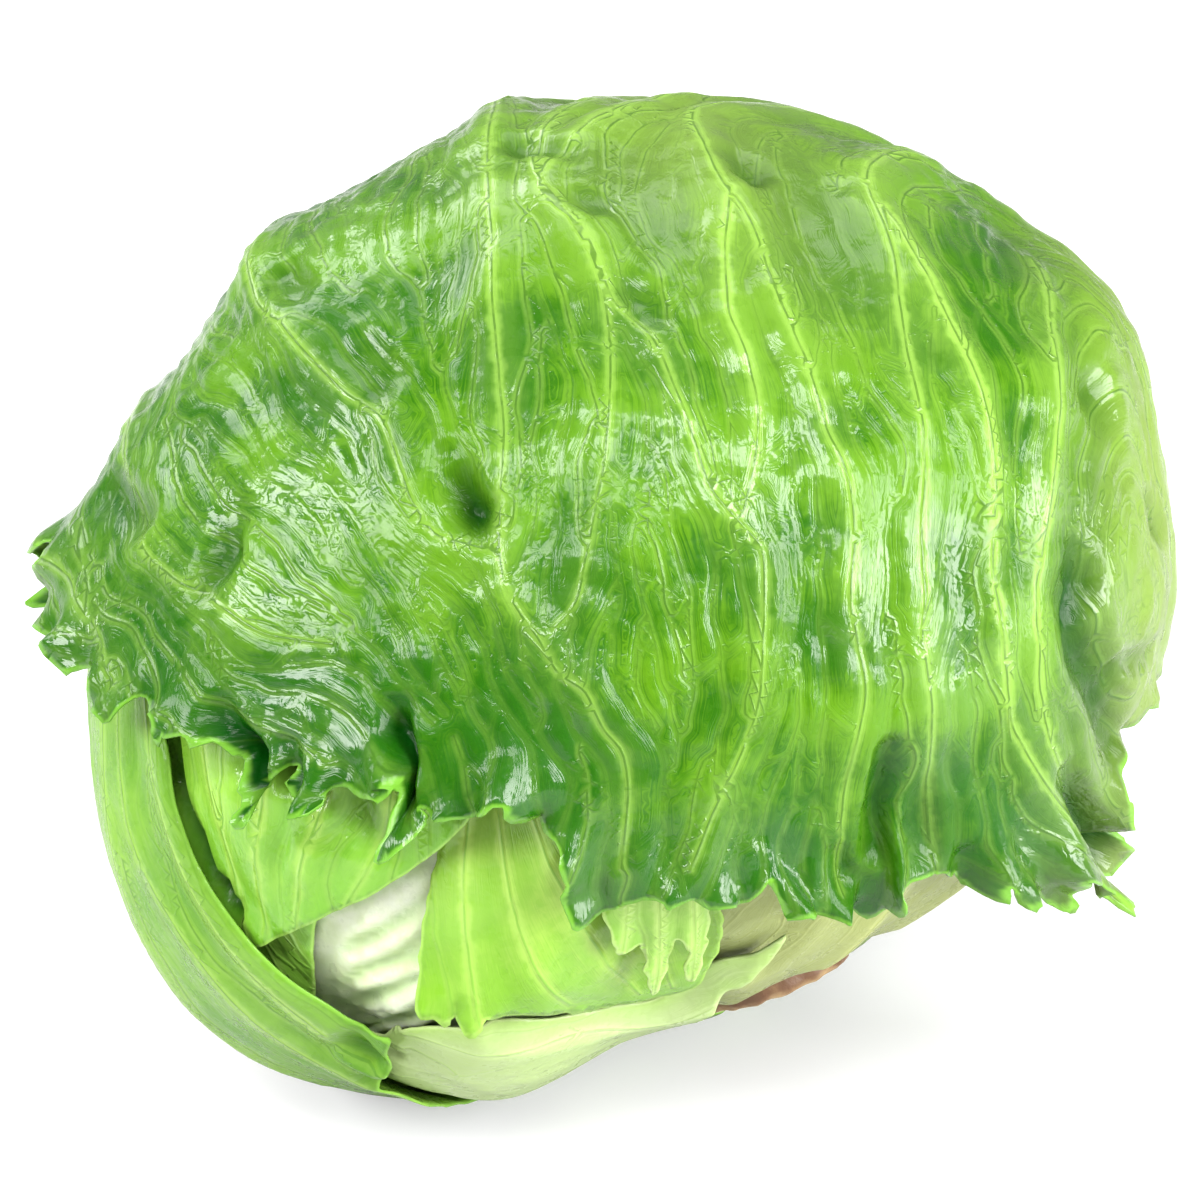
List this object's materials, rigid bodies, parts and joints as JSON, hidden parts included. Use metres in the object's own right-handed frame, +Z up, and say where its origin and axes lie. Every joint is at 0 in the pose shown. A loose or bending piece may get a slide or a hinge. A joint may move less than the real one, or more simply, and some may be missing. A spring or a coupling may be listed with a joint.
{
  "type": "iceberg lettuce head",
  "caption": "Whole iceberg lettuce head lying on its side, with crisp frilled wrapper leaves, a pale dense heart and a cut stem.",
  "frame": {"origin": "on the resting surface, under the middle of the head's bounding box", "axes": "+X along the head's width, towards the stem's side; +Y towards the back, away from the opening in the leaves; +Z up"},
  "size_m": [0.1727, 0.1653, 0.1486],
  "materials": {
    "cap_leaf": "satin, waxy",
    "left_leaf": "satin, waxy",
    "right_leaf": "satin, waxy",
    "fold_leaf": "satin, blistered",
    "front_leaf": "satin",
    "frayed_leaf": "satin",
    "tuck_leaf": "satin",
    "under_leaf": "satin",
    "heart": "satin, crinkled",
    "stem": "matt, browned cut"
  },
  "bodies": {
    "root": {"cap_leaf": "cap_leaf", "left_leaf": "left_leaf", "right_leaf": "right_leaf", "fold_leaf": "fold_leaf", "front_leaf": "front_leaf", "frayed_leaf": "frayed_leaf", "tuck_leaf": "tuck_leaf", "under_leaf": "under_leaf", "heart": "heart", "stem": "stem"}
  },
  "joints": []
}
